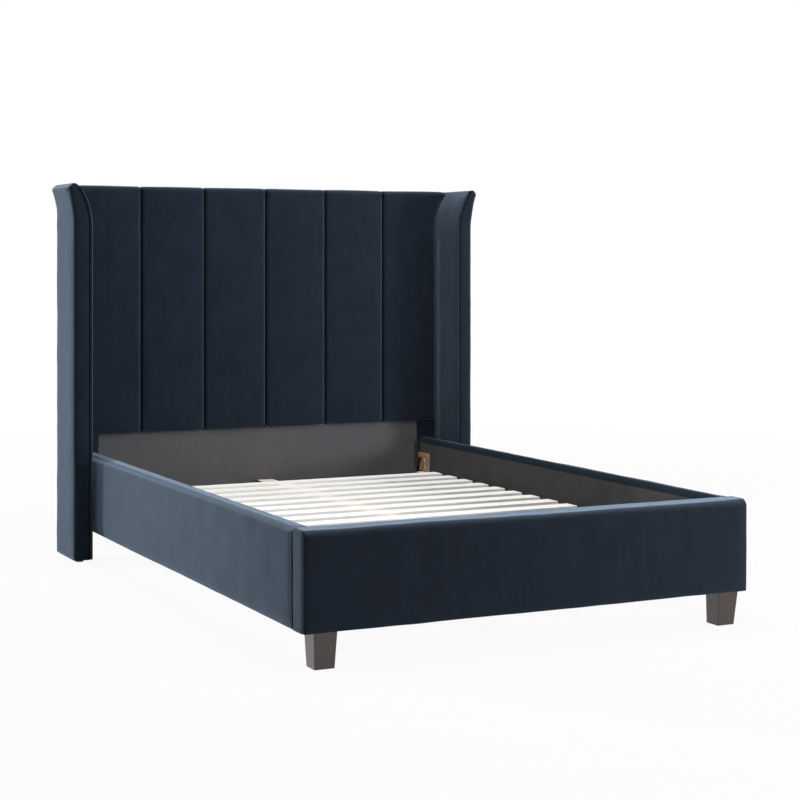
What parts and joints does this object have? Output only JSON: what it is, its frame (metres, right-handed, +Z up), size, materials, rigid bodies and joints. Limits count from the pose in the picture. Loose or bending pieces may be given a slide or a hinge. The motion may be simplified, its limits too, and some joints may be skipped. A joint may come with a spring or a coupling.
{
  "type": "wingback bed",
  "caption": "Double wingback bed frame with a channelled velvet headboard between flared wings, padded rails, block feet and a slatted base.",
  "frame": {"origin": "on the floor, at the middle of the bed's overall length and width", "axes": "+X to the right of someone who looks from the foot to the head, +Y from the foot to the headboard, +Z up"},
  "size_m": [1.689, 2.026, 1.3661],
  "materials": {
    "black_dust_cloth": "black non-woven dust cloth",
    "black_plastic": "black moulded plastic",
    "black_steel": "black powder coat",
    "board_wood": "raw board",
    "bright_zinc_bolt": "bright zinc plate",
    "core_board": "raw laminated board",
    "dark_lacquered_wood": "dark brown satin lacquer",
    "frame_softwood": "planed softwood",
    "grey_panel_cloth": "plain matt grey cloth",
    "lining_cloth": "plain matt black-grey lining cloth",
    "navy_velvet": "short-pile navy velvet with a soft sheen",
    "plywood": "thin plywood",
    "slat_wood": "planed pale softwood",
    "yellow_zinc_steel": "yellow zinc-plated pressed steel"
  },
  "bodies": {
    "root": {"beam_cradles": "black_steel", "centre_beam": "frame_softwood", "foot_rail_board": "board_wood", "foot_rail_cover": "navy_velvet", "foot_rail_lining": "lining_cloth", "frame_bolts": "bright_zinc_bolt", "front_centre_leg": "frame_softwood", "headboard_back_cloth": "black_dust_cloth", "headboard_board": "plywood", "headboard_glides": "black_plastic", "headboard_left_stile": "frame_softwood", "headboard_low_rail": "frame_softwood", "headboard_lower_panel": "grey_panel_cloth", "headboard_middle_rail": "frame_softwood", "headboard_pad": "navy_velvet", "headboard_right_stile": "frame_softwood", "headboard_top_rail": "frame_softwood", "headboard_upright": "frame_softwood", "keeper_plates": "black_steel", "left_corner_bracket": "black_steel", "left_foot": "dark_lacquered_wood", "left_hook_plate": "yellow_zinc_steel", "left_rail_board": "board_wood", "left_rail_cover": "navy_velvet", "left_rail_lining": "lining_cloth", "left_side_border": "navy_velvet", "left_slat_ledge": "frame_softwood", "left_wing_core": "core_board", "left_wing_cover": "navy_velvet", "left_wing_piping": "navy_velvet", "rear_centre_leg": "frame_softwood", "right_corner_bracket": "black_steel", "right_foot": "dark_lacquered_wood", "right_hook_plate": "yellow_zinc_steel", "right_rail_board": "board_wood", "right_rail_cover": "navy_velvet", "right_rail_lining": "lining_cloth", "right_side_border": "navy_velvet", "right_slat_ledge": "frame_softwood", "right_wing_core": "core_board", "right_wing_cover": "navy_velvet", "right_wing_piping": "navy_velvet", "slat_01": "slat_wood", "slat_02": "slat_wood", "slat_03": "slat_wood", "slat_04": "slat_wood", "slat_05": "slat_wood", "slat_06": "slat_wood", "slat_07": "slat_wood", "slat_08": "slat_wood", "slat_09": "slat_wood", "slat_10": "slat_wood", "slat_11": "slat_wood", "slat_12": "slat_wood", "slat_13": "slat_wood", "slat_14": "slat_wood", "slat_15": "slat_wood", "wing_bolts": "bright_zinc_bolt"},
    "front_leveller": {"front_levelling_foot": "black_plastic"},
    "rear_leveller": {"rear_levelling_foot": "black_plastic"}
  },
  "joints": [
    {"name": "front_levelling_screw", "type": "slide", "parent": "root", "child": "front_leveller", "axis": [0, 0, 1], "range_m": [-0.012, 0.008]},
    {"name": "rear_levelling_screw", "type": "slide", "parent": "root", "child": "rear_leveller", "axis": [0, 0, 1], "range_m": [-0.012, 0.008]}
  ]
}
